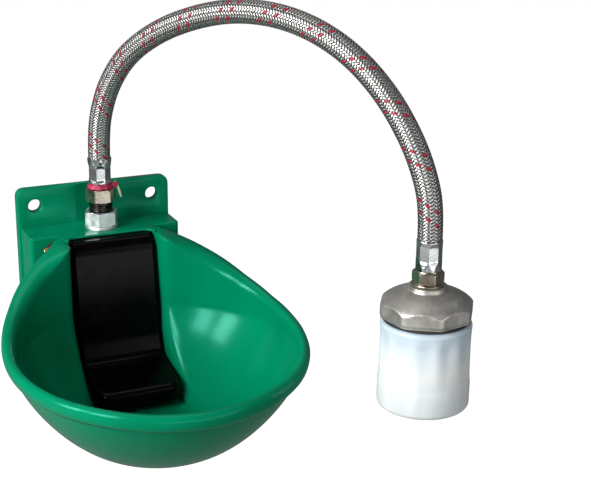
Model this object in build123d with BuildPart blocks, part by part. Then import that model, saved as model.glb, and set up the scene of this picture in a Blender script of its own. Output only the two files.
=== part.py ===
"""Tongue-operated water bowl for livestock, with a braided feed hose and a tank coupling.

Millimetres.  The origin is midway between the two wall bolt holes, on the wall plane.
+X is to the animal's left when it faces the wall, -Y is out from the wall, +Z is up.
"""
from build123d import *
from math import cos, hypot, pi, radians, sin, tan
import os

os.makedirs("parts", exist_ok=True)

# ---------------------------------------------------------------- driving dimensions
# wall plate and valve housing
plate_width = 141
plate_top = 16
plate_thickness = 10
plate_corner = 6
bolt_inset = 16
bolt_hole_radius = 6
groove_width = 35
groove_depth = 3
shelf_level = -19
shelf_thickness = 5
box_inset = 2
box_front_gap = 0.5
box_bottom = -95
box_wall = 5
box_corner = 4
neck_wall = 12.5
hood_reach = 8
hood_thickness = 2

# bowl
bowl_radius = 118
bowl_back = 67
bowl_wall = 4
bowl_bottom = -162
bowl_flat_radius = 38
bowl_shoulder = -84
rim_front_level = -80
rim_overhang = 6
rim_height = 10
channel_wall = 4.5
stop_width = 9
stop_length = 15
stop_height = 1.6

# tongue and its hinge
tongue_width = 71
tongue_skin = 3.5
tongue_skirt = 3
tongue_side_gap = 2
tongue_travel = 4
boss_radius = 7
pin_radius = 3
pin_overhang = 3.5
clip_radius = 6
clip_thickness = 1.6
arm_width = 16
arm_thickness = 4

# fits
running_fit = 0.05
body_gap = 0.3
thread_fit = 0.06

# valve
inlet_reach = 30
thread_radius = 10.48
inlet_bore = 7.5
body_wall = 3.02
body_length = 26
orifice_radius = 4.5
seat_thickness = 3
stem_radius = 2.5
head_radius = 6.8
head_thickness = 2.4
seal_thickness = 2.3
guide_length = 5
spring_radius = 4.9
spring_wire = 0.6
spring_turns = 5
retainer_thickness = 2
gasket_thickness = 2

# inlet stack above the shelf
washer_radius = 16
washer_thickness = 1.5
lock_nut_wall = 3.02
lock_height = 12
thread_shown = 9
union_nut_wall = 1.52
union_height = 12
union_engaged = 7
tail_flange = 2.2
tail_neck_radius = 7.6
band_height = 5
band_radius = 11

# hose and its end fittings
hose_diameter = 19
liner_diameter = 13
liner_bore = 8.5
ferrule_length = 24
ferrule_crimp = 0.4
ferrule_lip = 2
ferrule_bore = 6.6
far_flats = 22
far_hex_height = 9
far_collar_lip = 1.92
far_collar_height = 2.5
far_thread_length = 16

# tank end
tank_x = 176.4
tank_y = -306.5
tank_ferrule_top = 31
cap_wall = 6.4
cap_flat_depth = 1
cap_height = 25
cap_skirt_height = 10
cap_ring_radius = 15.5
cap_ring_height = 3
cap_thread_depth = 11
cap_roof = 6
tank_thread_radius = 29.6
tank_thread_length = 9
cap_gasket_thickness = 3
coupling_wall = 5.8
coupling_skirt_lip = 1
coupling_height = 71
coupling_skirt_height = 21
coupling_flutes = 24
socket_fit = 0.2
socket_depth = 37
waterway_radius = 22
seal_groove_lip = 0.8
seal_groove_height = 3.5
seal_ring_thickness = 3

# ---------------------------------------------------------------- worked-out places
bolt_spacing = plate_width - 2 * bolt_inset
box_width = plate_width - 2 * box_inset
body_flats = 2 * (thread_radius + body_wall)
box_depth = inlet_reach + body_flats / 2 + box_front_gap
slot_half = tongue_width / 2 + tongue_side_gap
neck_half = slot_half + neck_wall
hood_front = -(box_depth + hood_reach)
hood_under = shelf_level - hood_thickness
pin_y = hood_front - 0.5
pin_z = hood_under - 0.5 - boss_radius
bowl_y = -(bowl_back + bowl_radius)
floor_level = bowl_bottom + bowl_wall
inner_radius = bowl_radius - bowl_wall
channel_front = bowl_y + bowl_flat_radius
lip_y = channel_front + 10
lip_bottom = floor_level + 8

gasket_top = shelf_level - shelf_thickness
valve_top = gasket_top - gasket_thickness
valve_bottom = valve_top - body_length
seat_level = valve_bottom + seat_thickness + 3
nipple_bottom = valve_top - 10
head_bottom = seat_level + body_gap + seal_thickness
head_top = head_bottom + head_thickness
arm_top = valve_bottom - 4
stem_tip = arm_top + body_gap
lever_arm = -inlet_reach - pin_y

lock_flats = 2 * (thread_radius + lock_nut_wall)
union_flats = 2 * (thread_radius + union_nut_wall)
ferrule_flats = hose_diameter - ferrule_crimp
ferrule_flare = hose_diameter + ferrule_lip
far_collar_radius = thread_radius + far_collar_lip
lock_bottom = shelf_level + washer_thickness
lock_top = lock_bottom + lock_height
union_bottom = lock_top + thread_shown
nipple_top = union_bottom + union_engaged
union_gasket_top = nipple_top + 1.6
flange_top = union_gasket_top + tail_flange
union_top = union_bottom + union_height
ferrule_bottom = union_top + band_height
ferrule_top = ferrule_bottom + ferrule_length

far_ferrule_bottom = tank_ferrule_top - ferrule_length
far_hex_bottom = far_ferrule_bottom - 1 - far_hex_height
far_collar_bottom = far_hex_bottom - far_collar_height
cap_radius = tank_thread_radius + cap_wall
cap_flats = 2 * (cap_radius - cap_flat_depth)
coupling_radius = tank_thread_radius + coupling_wall
coupling_skirt_radius = coupling_radius + coupling_skirt_lip
socket_radius = tank_thread_radius + socket_fit
cap_top = far_collar_bottom
cap_bottom = cap_top - cap_height
coupling_top = cap_bottom - cap_gasket_thickness
coupling_bottom = coupling_top - coupling_height
socket_top = coupling_bottom + socket_depth
seal_groove_radius = socket_radius + seal_groove_lip
seal_groove_top = socket_top + seal_groove_height


def finish(part, name):
    """Label one finished piece and write it as its own STEP file."""
    part.label = name
    export_step(part, f"parts/{name}.step")


# ---------------------------------------------------------------- bowl and housing
# The bowl is a body of turning with the housing and neck behind it; the side view of
# its top edge falls from the shelf in a long curve to the front of the rim.
rim_points = [
    (hood_front - 8, shelf_level),
    (hood_front - 32, shelf_level - 12.5),
    (hood_front - 66, shelf_level - 32.5),
    (bowl_y + 25, rim_front_level + 14.5),
    (bowl_y - 27, rim_front_level + 7),
    (bowl_y - bowl_radius - 20, rim_front_level),
]
# side view of the tongue's channel, from the housing's back down to the bowl's floor
channel_floor = [
    (-9, box_bottom + 7),
    (-box_depth - 1, box_bottom - 31),
    (channel_front + 67, floor_level + 7),
    (channel_front + 42, floor_level + 1.5),
]


def bowl_face(radius, bottom):
    """Half section of the turned bowl, from its axis to a wall of the given radius."""
    with BuildSketch(Plane.XZ) as half:
        with BuildLine():
            wall_foot = (radius, bowl_shoulder)
            flat_edge = (bowl_flat_radius - (bowl_radius - radius), bottom)
            Line((0, shelf_level), (radius, shelf_level))
            Line((radius, shelf_level), wall_foot)
            Bezier(wall_foot, (radius - 6, bowl_shoulder - 24), (flat_edge[0] + 37, bottom + 5), flat_edge)
            Line(flat_edge, (0, bottom))
            Line((0, bottom), (0, shelf_level))
        make_face()
    return half.sketch


bowl_axis = Axis((0, bowl_y, 0), (0, 0, 1))

with BuildPart() as bowl_body:
    # turned outer form
    add(bowl_face(bowl_radius, bowl_bottom).moved(Location((0, bowl_y, 0))))
    revolve(axis=bowl_axis, revolution_arc=360)
    # thick edge round the rim, from a curve below the top edge up to the shelf's level;
    # it stops where the rim runs into the neck
    with BuildSketch(Plane.YZ):
        with BuildLine():
            lower = [(y, z - rim_height) for y, z in rim_points]
            Spline(*lower, tangents=[(-1, 0), (-1, -0.05)])
            Polyline(lower[-1], (lower[-1][0], shelf_level), (lower[0][0], shelf_level), lower[0])
        make_face()
    over_lower_edge = extrude(amount=bowl_radius + 20, both=True, mode=Mode.PRIVATE)
    with BuildSketch(Plane.XY.offset(shelf_level)):
        with Locations((0, bowl_y)):
            Circle(bowl_radius + rim_overhang)
            Circle(bowl_radius - bowl_wall / 2, mode=Mode.SUBTRACT)
    rim_ring = extrude(amount=bowl_bottom, mode=Mode.PRIVATE)
    add(over_lower_edge & rim_ring)
    # top edge: everything above the falling curve goes
    with BuildSketch(Plane.YZ):
        with BuildLine():
            Spline(*rim_points, tangents=[(-1, 0), (-1, -0.05)])
            Polyline(rim_points[-1], (rim_points[-1][0], 10), (rim_points[0][0], 10), rim_points[0])
        make_face()
    extrude(amount=bowl_radius + 20, both=True, mode=Mode.SUBTRACT)
    # wall plate
    with BuildSketch(Plane.XZ) as plate_sketch:
        with BuildLine():
            half = plate_width / 2
            Polyline(
                (-half, box_bottom), (-half, plate_top), (half, plate_top),
                (half, box_bottom), close=True)
        make_face()
        fillet(plate_sketch.vertices().group_by(Axis.Y)[-1], plate_corner)
    extrude(amount=plate_thickness)
    # valve box with its shelf on top
    with BuildSketch(Plane.XY.offset(box_bottom)) as box_sketch:
        with Locations((0, -box_depth / 2)):
            Rectangle(box_width, box_depth)
        fillet(box_sketch.vertices().group_by(Axis.Y)[0], box_corner)
    extrude(amount=shelf_level - box_bottom)
    # neck from the box to the bowl, under the animal's side of the hinge
    neck_front = bowl_y + (bowl_radius**2 - neck_half**2) ** 0.5
    with BuildSketch(Plane.XY.offset(box_bottom)):
        with Locations((0, (neck_front - box_depth) / 2)):
            Rectangle(2 * neck_half, -neck_front - box_depth + 4)
    extrude(amount=shelf_level - box_bottom)
    # shell round the tongue's channel
    with BuildSketch(Plane.YZ):
        with BuildLine():
            shell = [(y, z - channel_wall) for y, z in channel_floor]
            Polyline(
                (0, box_bottom + 8), (0, box_bottom), *shell[1:],
                (channel_front, bowl_bottom), (channel_front, floor_level + 2),
                (neck_front - 4, box_bottom + 8), close=True)
        make_face()
    extrude(amount=slot_half + channel_wall, both=True)
    # inside of the bowl
    add(
        bowl_face(inner_radius, floor_level).moved(Location((0, bowl_y, 0))), mode=Mode.ADD)
    revolve(axis=bowl_axis, revolution_arc=360, mode=Mode.SUBTRACT)
    # channel and slot for the tongue, under the shelf and its hood
    with BuildSketch(Plane.YZ):
        with BuildLine():
            Polyline(
                (-9, gasket_top), (-box_depth, gasket_top), (-box_depth, hood_under),
                (hood_front, hood_under), (hood_front, 0), (-100, 0),
                (channel_front, -100), (channel_front, floor_level),
                *channel_floor[::-1], close=True)
        make_face()
    extrude(amount=slot_half, both=True, mode=Mode.SUBTRACT)
    # stop on the floor under the tongue's lip
    stop_y = channel_front + 5 + stop_length / 2
    with BuildSketch(Plane.XY.offset(floor_level - 1)):
        with Locations((0, stop_y)):
            Rectangle(stop_width, stop_length)
    extrude(amount=stop_height + 1)
    # pockets behind the box, open to the wall
    pocket_inner = slot_half + box_wall
    pocket_width = box_width / 2 - box_wall - pocket_inner
    with BuildSketch(Plane.XZ):
        with Locations((0, (box_bottom + shelf_level) / 2)):
            with Locations(
                    (pocket_inner + pocket_width / 2, 0), (-pocket_inner - pocket_width / 2, 0)):
                Rectangle(pocket_width, shelf_level - box_bottom - 2 * box_wall)
    extrude(amount=box_depth - box_wall, mode=Mode.SUBTRACT)
    # round-backed groove in the plate behind the inlet
    groove_radius = (groove_width**2 / 4 + groove_depth**2) / (2 * groove_depth)
    with BuildSketch(Plane.XY.offset(shelf_level)):
        with Locations((0, -plate_thickness + groove_depth - groove_radius)):
            Circle(groove_radius)
        with Locations((0, -plate_thickness - groove_radius)):
            Rectangle(4 * groove_radius, 2 * groove_radius, mode=Mode.SUBTRACT)
    extrude(amount=plate_top - shelf_level + 1, mode=Mode.SUBTRACT)
    # bolt holes, inlet hole and hinge pin hole
    with Locations(Plane.XZ):
        with GridLocations(bolt_spacing, 1, 2, 1):
            Hole(bolt_hole_radius, depth=2 * plate_thickness + 2)
    with BuildSketch(Plane.XY.offset(shelf_level)):
        with Locations((0, -inlet_reach)):
            Circle(thread_radius + 0.5)
    extrude(amount=-shelf_thickness - 1, mode=Mode.SUBTRACT)
    with BuildSketch(Plane.YZ):
        with Locations((pin_y, pin_z)):
            Circle(pin_radius + running_fit)
    extrude(amount=neck_half + 5, both=True, mode=Mode.SUBTRACT)
finish(bowl_body.part, "bowl_body")

# ---------------------------------------------------------------- hinge
pin_half = neck_half + pin_overhang
with BuildPart() as hinge_pin:
    with BuildSketch(Plane.YZ.offset(-pin_half)):
        with Locations((pin_y, pin_z)):
            Circle(pin_radius)
    extrude(amount=2 * pin_half)
    chamfer(hinge_pin.edges().filter_by(GeomType.CIRCLE), 0.6)
finish(hinge_pin.part, "hinge_pin")

with BuildPart() as pin_clips:
    for side in (-1, 1):
        with BuildSketch(Plane.YZ.offset(side * (neck_half + 0.1 + clip_thickness / 2))):
            with Locations((pin_y, pin_z)):
                Circle(clip_radius)
                Circle(pin_radius + running_fit, mode=Mode.SUBTRACT)
        extrude(amount=clip_thickness / 2, both=True)
finish(pin_clips.part, "pin_clips")

# ---------------------------------------------------------------- tongue
# Side view of the moulding: a rolled hinge edge, a flat upper plate, a step and a
# paddle with a deep front lip; it is hollow behind, with a skirt down each side.
front_line = [
    (pin_y - boss_radius, pin_z),
    (lip_y + 58, floor_level + 48),
    (lip_y + 51, floor_level + 32),
    (lip_y + 3, floor_level + 22.5),
    (lip_y, floor_level + 19),
    (lip_y, lip_bottom),
]
back_line = [
    (lip_y + 5, lip_bottom),
    (lip_y + 42, floor_level + 15),
    (lip_y + 62, floor_level + 27),
    (lip_y + 71, floor_level + 46),
    (pin_y - 3.5, pin_z - 46.5),
    (pin_y + 5, pin_z - 4),
]
# the hollow behind the skin, open downwards and backwards
skin_line = [
    (lip_y + tongue_skin, lip_bottom - 5),
    (lip_y + tongue_skin, floor_level + 18.3),
    (lip_y + 53.4, floor_level + 28.7),
    (lip_y + 61.4, floor_level + 47),
    (pin_y - 3.4, pin_z - 8),
    (pin_y + 12, pin_z - 8),
    (pin_y + 2.5, lip_bottom - 5),
]
tongue_half = tongue_width / 2
with BuildPart() as press_tongue:
    with BuildSketch(Plane.YZ):
        with BuildLine():
            Polyline(*front_line, *back_line, close=True)
        make_face()
    extrude(amount=tongue_half, both=True)
    fillet(press_tongue.edges().filter_by(Axis.Z).group_by(Axis.Y)[0], 8)
    with BuildSketch(Plane.YZ):
        with BuildLine():
            Polyline(*skin_line, close=True)
        make_face()
    extrude(amount=tongue_half - tongue_skirt, both=True, mode=Mode.SUBTRACT)
    # rolled hinge edge
    with BuildSketch(Plane.YZ):
        with Locations((pin_y, pin_z)):
            Circle(boss_radius)
    extrude(amount=tongue_half, both=True)
    # arm that reaches back under the valve stem
    with BuildSketch(Plane.YZ):
        with BuildLine():
            Polyline(
                (pin_y - 4, pin_z - 2), (pin_y + 4, pin_z - 2), (pin_y + 4, arm_top),
                (-inlet_reach + 7, arm_top), (-inlet_reach + 7, arm_top - arm_thickness),
                (pin_y - 2, arm_top - arm_thickness - 10), (pin_y - 17.5, pin_z - 61.5),
                close=True)
        make_face()
    extrude(amount=arm_width / 2, both=True)
    # bore for the hinge pin
    with BuildSketch(Plane.YZ):
        with Locations((pin_y, pin_z)):
            Circle(pin_radius + running_fit)
    extrude(amount=tongue_half + 1, both=True, mode=Mode.SUBTRACT)
finish(press_tongue.part, "press_tongue")

# ---------------------------------------------------------------- valve
inlet = (0, -inlet_reach)


def ring(name, bottom, top, outer, inner, centre=inlet, edge=0.0):
    """A plain upright ring or sleeve, with an optional chamfer on its round edges."""
    with BuildPart() as piece:
        with BuildSketch(Plane.XY.offset(bottom)):
            with Locations(centre):
                Circle(outer)
                Circle(inner, mode=Mode.SUBTRACT)
        extrude(amount=top - bottom)
        if edge:
            chamfer(piece.edges().filter_by(GeomType.CIRCLE), edge)
    finish(piece.part, name)


with BuildPart() as valve_body:
    with BuildSketch(Plane.XY.offset(valve_bottom)):
        with Locations(inlet):
            RegularPolygon(body_flats / 2, 6, major_radius=False)
    extrude(amount=body_length)
    with BuildSketch(Plane.XY.offset(nipple_bottom)):
        with Locations(inlet):
            Circle(thread_radius + thread_fit)
    extrude(amount=valve_top - nipple_bottom, mode=Mode.SUBTRACT)
    with BuildSketch(Plane.XY.offset(seat_level)):
        with Locations(inlet):
            Circle(inlet_bore + 1)
    extrude(amount=nipple_bottom - seat_level, mode=Mode.SUBTRACT)
    with BuildSketch(Plane.XY.offset(valve_bottom)):
        with Locations(inlet):
            Circle(orifice_radius)
    extrude(amount=seat_level - valve_bottom, mode=Mode.SUBTRACT)
    with BuildSketch(Plane.XY.offset(valve_bottom)):
        with Locations(inlet):
            Circle(inlet_bore)
    extrude(amount=3, mode=Mode.SUBTRACT)
finish(valve_body.part, "valve_body")

with BuildPart() as valve_plunger:
    with BuildSketch(Plane.XY.offset(stem_tip)):
        with Locations(inlet):
            Circle(stem_radius)
    extrude(amount=head_top + guide_length - stem_tip)
    chamfer(valve_plunger.edges().group_by(Axis.Z)[0], 0.8)
    with BuildSketch(Plane.XY.offset(head_bottom)):
        with Locations(inlet):
            Circle(head_radius)
    extrude(amount=head_thickness)
finish(valve_plunger.part, "valve_plunger")
print("stem lift, m per radian of tongue", lever_arm / 1000,
      "and at full travel, mm", round(lever_arm * radians(tongue_travel), 2))

ring("valve_seal", seat_level + body_gap, head_bottom, head_radius + 0.4, stem_radius)

retainer_bottom = gasket_top - 1
spring_bottom = head_top + body_gap / 2
with BuildPart() as valve_spring:
    spring_height = retainer_bottom - spring_bottom - 2 * spring_wire
    with BuildLine():
        coil = Helix(
            spring_height / spring_turns, spring_height, spring_radius,
            center=(*inlet, spring_bottom + spring_wire))
    with BuildSketch(Plane(coil @ 0, z_dir=coil % 0)):
        Circle(spring_wire)
    sweep(path=coil, is_frenet=True)
finish(valve_spring.part, "valve_spring")

with BuildPart() as spring_retainer:
    with BuildSketch(Plane.XY.offset(retainer_bottom)):
        with Locations(inlet):
            Circle(inlet_bore - running_fit)
            Circle(2.5, mode=Mode.SUBTRACT)
            with PolarLocations(4.9, 6):
                Circle(1.4, mode=Mode.SUBTRACT)
    extrude(amount=retainer_thickness)
finish(spring_retainer.part, "spring_retainer")

# ---------------------------------------------------------------- inlet stack
ring("inlet_gasket", valve_top, gasket_top, body_flats / 2, thread_radius + thread_fit)
ring("inlet_nipple", nipple_bottom, nipple_top, thread_radius, inlet_bore, edge=0.6)
ring("inlet_washer", shelf_level, lock_bottom, washer_radius, thread_radius + thread_fit, edge=0.4)


def crown(radius, bottom, top, drop):
    """A turned blank with both rims coned, which rounds the corners of a hex nut."""
    with BuildPart() as blank:
        with BuildSketch(Plane.XY.offset(bottom)):
            with Locations(inlet):
                Circle(radius)
        extrude(amount=top - bottom)
        chamfer(blank.edges().filter_by(GeomType.CIRCLE), drop, length2=drop * 1.7)
    return blank.part


with BuildPart() as inlet_lock_nut:
    with BuildSketch(Plane.XY.offset(lock_bottom)):
        with Locations(inlet):
            RegularPolygon(lock_flats / 2, 6, major_radius=False, rotation=10)
            Circle(thread_radius + thread_fit, mode=Mode.SUBTRACT)
    extrude(amount=lock_height)
    add(crown(lock_flats / 2 / cos(pi / 6), lock_bottom, lock_top, 1.2), mode=Mode.INTERSECT)
finish(inlet_lock_nut.part, "inlet_lock_nut")

with BuildPart() as union_nut:
    with BuildSketch(Plane.XY.offset(union_bottom)):
        with Locations(inlet):
            RegularPolygon(union_flats / 2, 6, major_radius=False)
            Circle(thread_radius + thread_fit, mode=Mode.SUBTRACT)
    extrude(amount=flange_top - union_bottom)
    with BuildSketch(Plane.XY.offset(flange_top)):
        with Locations(inlet):
            RegularPolygon(union_flats / 2, 6, major_radius=False)
            Circle(tail_neck_radius + thread_fit, mode=Mode.SUBTRACT)
    extrude(amount=union_top - flange_top)
    add(crown(union_flats / 2 / cos(pi / 6), union_bottom, union_top, 1), mode=Mode.INTERSECT)
finish(union_nut.part, "union_nut")

ring("union_gasket", nipple_top, union_gasket_top, thread_radius - 0.4, inlet_bore)


def hose_tail(bottom, flange_radius, flange_height, stem_top, name):
    """Stem that the hose is crimped on to, standing on a round flange."""
    with BuildPart() as tail:
        with BuildSketch(Plane.XY.offset(bottom)):
            with Locations(inlet):
                Circle(flange_radius)
        extrude(amount=flange_height)
        with BuildSketch(Plane.XY.offset(bottom + flange_height)):
            with Locations(inlet):
                Circle(tail_neck_radius)
        extrude(amount=ferrule_bottom - bottom - flange_height)
        with BuildSketch(Plane.XY.offset(ferrule_bottom)):
            with Locations(inlet):
                Circle(ferrule_bore)
        extrude(amount=stem_top - ferrule_bottom)
        with BuildSketch(Plane.XY.offset(bottom)):
            with Locations(inlet):
                Circle(liner_bore / 2)
        extrude(amount=stem_top - bottom, mode=Mode.SUBTRACT)
    finish(tail.part, name)


hose_tail(union_gasket_top, thread_radius - 0.4, tail_flange, ferrule_top, "near_tail")


def ferrule(name, bottom, centre):
    """Crimped sleeve: eight pressed flats, a plain foot and a flared mouth."""
    top = bottom + ferrule_length
    with BuildPart() as sleeve:
        with BuildSketch(Plane.XY.offset(bottom)):
            with Locations(centre):
                RegularPolygon(ferrule_flats / 2, 8, major_radius=False, rotation=11)
                Circle(ferrule_bore, mode=Mode.SUBTRACT)
        extrude(amount=ferrule_length)
        with BuildSketch(Plane.XY.offset(top - 5)):
            with Locations(centre):
                Circle(ferrule_flare / 2)
                Circle(ferrule_bore, mode=Mode.SUBTRACT)
        extrude(amount=5)
    finish(sleeve.part, name)


ferrule("near_ferrule", ferrule_bottom, inlet)

# band tied round the neck of the tail, between the union nut and the ferrule
with BuildPart() as seal_band:
    with BuildSketch(Plane.XY.offset(union_top)):
        with Locations(inlet):
            Circle(band_radius)
            Circle(tail_neck_radius + running_fit, mode=Mode.SUBTRACT)
    extrude(amount=band_height)
    knot_x = band_radius * cos(radians(-25)) + 1
    knot_y = -inlet_reach + band_radius * sin(radians(-25))
    with BuildSketch(Plane.XY.offset(union_top + 1)):
        with Locations((knot_x, knot_y)):
            Rectangle(6, 5, rotation=-25)
    extrude(amount=band_height - 1)
finish(seal_band.part, "seal_band")

with BuildPart() as band_tail:
    with BuildSketch(Plane.XZ.offset(-knot_y - 1)):
        with BuildLine():
            Polyline(
                (knot_x + 4.5, union_top + 4), (knot_x + 6.5, union_top + 4),
                (knot_x + 9, union_top - 9), (knot_x + 7, union_top - 9), close=True)
        make_face()
    extrude(amount=2)
finish(band_tail.part, "band_tail")

# ---------------------------------------------------------------- hose
# The hose stands in the upright plane through the inlet and the tank coupling.  Each
# point of its route is a distance along that plane from the inlet, and a height.
span_x = tank_x
span_y = tank_y + inlet_reach
span = hypot(span_x, span_y)
route = [
    (0, ferrule_top),
    (0, 63),
    (4, 87),
    (15, 114),
    (36, 141),
    (69, 163),
    (106, 178),
    (144, 187),
    (184, 188),
    (222, 180),
    (257, 163),
    (287, 137),
    (310, 105),
    (323, 76),
    (span, 53),
    (span, tank_ferrule_top),
]
points = [Vector(s * span_x / span, -inlet_reach + s * span_y / span, z) for s, z in route]
radii = []
for before, here, after in zip(points, points[1:], points[2:]):
    shorter = min((here - before).length, (after - here).length)
    turn = (here - before).get_angle(after - here)
    radii.append(0.45 * shorter / tan(radians(turn) / 2))
print("hose radii", [round(r) for r in radii], "at least", 5 * hose_diameter)

with BuildLine() as hose_path:
    FilletPolyline(*points, radius=radii)
hose_length = sum(edge.length for edge in hose_path.line.edges())


def hose_tube(name, outer, inner):
    """One layer of the hose, carried along its route."""
    with BuildPart() as tube:
        add(hose_path.line)
        with BuildSketch(Plane(points[0], z_dir=points[1] - points[0])):
            Circle(outer / 2)
            Circle(inner / 2, mode=Mode.SUBTRACT)
        sweep()
    section = pi * (outer**2 - inner**2) / 4
    print(name, "volume over section x length", round(tube.part.volume / section / hose_length, 4))
    finish(tube.part, name)


hose_tube("hose_braid", hose_diameter, liner_diameter)
hose_tube("hose_liner", liner_diameter, liner_bore)
print("hose length", round(hose_length, 1))

# ---------------------------------------------------------------- tank end
tank = (tank_x, tank_y)
ferrule("far_ferrule", far_ferrule_bottom, tank)

with BuildPart() as far_tail:
    with BuildSketch(Plane.XY.offset(far_ferrule_bottom)):
        with Locations(tank):
            Circle(ferrule_bore)
    extrude(amount=ferrule_length)
    with BuildSketch(Plane.XY.offset(far_hex_bottom + far_hex_height)):
        with Locations(tank):
            Circle(ferrule_flats / 2 - 1)
    extrude(amount=far_ferrule_bottom - far_hex_bottom - far_hex_height)
    with BuildSketch(Plane.XY.offset(far_hex_bottom)):
        with Locations(tank):
            RegularPolygon(far_flats / 2, 6, major_radius=False, rotation=-4)
    extrude(amount=far_hex_height)
    with BuildSketch(Plane.XY.offset(far_collar_bottom)):
        with Locations(tank):
            Circle(far_collar_radius)
    extrude(amount=far_collar_height)
    with BuildSketch(Plane.XY.offset(far_collar_bottom)):
        with Locations(tank):
            Circle(thread_radius)
    extrude(amount=-far_thread_length)
    with BuildSketch(Plane.XY.offset(far_collar_bottom - far_thread_length)):
        with Locations(tank):
            Circle(liner_bore / 2)
    extrude(amount=tank_ferrule_top - far_collar_bottom + far_thread_length, mode=Mode.SUBTRACT)
finish(far_tail.part, "far_tail")

# cast cap: a ringed boss, a domed top and an eight-sided skirt
with BuildPart() as reducing_cap:
    with BuildSketch(Plane.XZ.offset(-tank_y)):
        with BuildLine():
            dome_top = cap_top - cap_ring_height
            skirt_top = cap_bottom + cap_skirt_height
            Polyline(
                (tank_x, cap_bottom), (tank_x + cap_radius, cap_bottom),
                (tank_x + cap_radius, skirt_top), (tank_x + cap_ring_radius + 3, dome_top),
                (tank_x + cap_ring_radius, cap_top), (tank_x, cap_top), close=True)
        make_face()
    revolve(axis=Axis((tank_x, tank_y, 0), (0, 0, 1)), revolution_arc=360)
    with BuildSketch(Plane.XY.offset(cap_bottom)):
        with Locations(tank):
            Circle(tank_thread_radius + thread_fit)
    extrude(amount=cap_thread_depth, mode=Mode.SUBTRACT)
    with BuildSketch(Plane.XY.offset(cap_bottom)):
        with Locations(tank):
            Circle(cap_ring_radius)
    extrude(amount=cap_height - cap_ring_height - cap_roof, mode=Mode.SUBTRACT)
    with BuildSketch(Plane.XY.offset(cap_bottom)):
        with Locations(tank):
            Circle(thread_radius + thread_fit)
    extrude(amount=cap_height, mode=Mode.SUBTRACT)
    with BuildSketch(Plane.XY.offset(skirt_top - 4)):
        with Locations(tank):
            Circle(cap_radius + 5)
            RegularPolygon(cap_flats / 2, 8, major_radius=False, rotation=10, mode=Mode.SUBTRACT)
    extrude(amount=cap_height, mode=Mode.SUBTRACT)
finish(reducing_cap.part, "reducing_cap")

ring("cap_gasket", coupling_top, cap_bottom, cap_radius - 1.5, tank_thread_radius + thread_fit, tank, 0.5)

with BuildPart() as tank_coupling:
    with BuildSketch(Plane.XY.offset(coupling_bottom)):
        with Locations(tank):
            Circle(coupling_skirt_radius)
    extrude(amount=coupling_skirt_height)
    chamfer(tank_coupling.edges().group_by(Axis.Z)[0], 3)
    with BuildSketch(Plane.XY.offset(coupling_bottom + coupling_skirt_height)):
        with Locations(tank):
            Circle(coupling_radius)
            with PolarLocations(coupling_radius + 2, coupling_flutes):
                Circle(2.6, mode=Mode.SUBTRACT)
    extrude(amount=coupling_height - coupling_skirt_height)
    with BuildSketch(Plane.XY.offset(coupling_top)):
        with Locations(tank):
            Circle(tank_thread_radius)
    extrude(amount=tank_thread_length)
    with BuildSketch(Plane.XY.offset(coupling_bottom)):
        with Locations(tank):
            Circle(waterway_radius)
    extrude(amount=coupling_height + tank_thread_length, mode=Mode.SUBTRACT)
    with BuildSketch(Plane.XY.offset(coupling_bottom)):
        with Locations(tank):
            Circle(socket_radius)
    extrude(amount=socket_depth, mode=Mode.SUBTRACT)
    with BuildSketch(Plane.XY.offset(socket_top)):
        with Locations(tank):
            Circle(seal_groove_radius)
    extrude(amount=seal_groove_height, mode=Mode.SUBTRACT)
finish(tank_coupling.part, "tank_coupling")

# The ring is snapped into a groove, so it stays in when the coupling is unscrewed.
ring("coupling_seal", seal_groove_top - seal_ring_thickness, seal_groove_top,
     seal_groove_radius - running_fit, waterway_radius, tank)
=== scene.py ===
"""Livestock water bowl with a press tongue, a braided feed hose and a tank coupling.

Metres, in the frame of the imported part: the origin is midway between the wall bolt holes
on the wall plane, -Y is out from the wall and +Z is up.
"""
from math import atan, cos, hypot, pi, radians, sin, tan

import bmesh
import bpy
import numpy as np
from mathutils import Matrix, Vector


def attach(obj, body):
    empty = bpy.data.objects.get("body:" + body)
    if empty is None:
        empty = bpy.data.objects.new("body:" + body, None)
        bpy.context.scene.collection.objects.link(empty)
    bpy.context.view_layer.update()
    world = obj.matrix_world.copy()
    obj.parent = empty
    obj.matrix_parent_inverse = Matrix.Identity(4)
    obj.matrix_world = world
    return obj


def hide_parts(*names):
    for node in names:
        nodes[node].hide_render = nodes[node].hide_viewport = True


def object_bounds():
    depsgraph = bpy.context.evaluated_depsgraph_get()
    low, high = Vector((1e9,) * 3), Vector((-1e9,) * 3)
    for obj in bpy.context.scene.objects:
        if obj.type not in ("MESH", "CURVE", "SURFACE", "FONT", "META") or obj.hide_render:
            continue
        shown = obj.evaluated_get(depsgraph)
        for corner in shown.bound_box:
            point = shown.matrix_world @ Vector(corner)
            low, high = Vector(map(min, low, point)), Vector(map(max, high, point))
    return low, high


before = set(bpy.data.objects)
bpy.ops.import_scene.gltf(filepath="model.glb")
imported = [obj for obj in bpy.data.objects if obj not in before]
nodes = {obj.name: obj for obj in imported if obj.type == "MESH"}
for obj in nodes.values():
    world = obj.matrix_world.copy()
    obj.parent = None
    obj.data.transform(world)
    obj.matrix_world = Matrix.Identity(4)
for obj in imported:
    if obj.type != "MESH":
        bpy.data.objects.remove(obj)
cad_low, cad_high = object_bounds()
MM = 0.001

# ---------------------------------------------------------------- camera and studio
# A long lens looks down on the bowl from the front left.  The floor is a wide pale sheet
# well below the part, which hangs on a wall.
right = Vector((0.909, -0.417, 0.013)).normalized()
forward = Vector((0.399, 0.860, -0.319)).normalized()
up = right.cross(forward).normalized()
eye = Vector((-0.313, -1.119, 0.342))
LENS, SENSOR = 79.7, 36
FLOOR_DROP = 0.30
FLOOR_REACH = 20.0


def placed(name, data):
    """A new object that holds the data, in the scene."""
    made = bpy.data.objects.new(name, data)
    bpy.context.scene.collection.objects.link(made)
    return made


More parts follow.
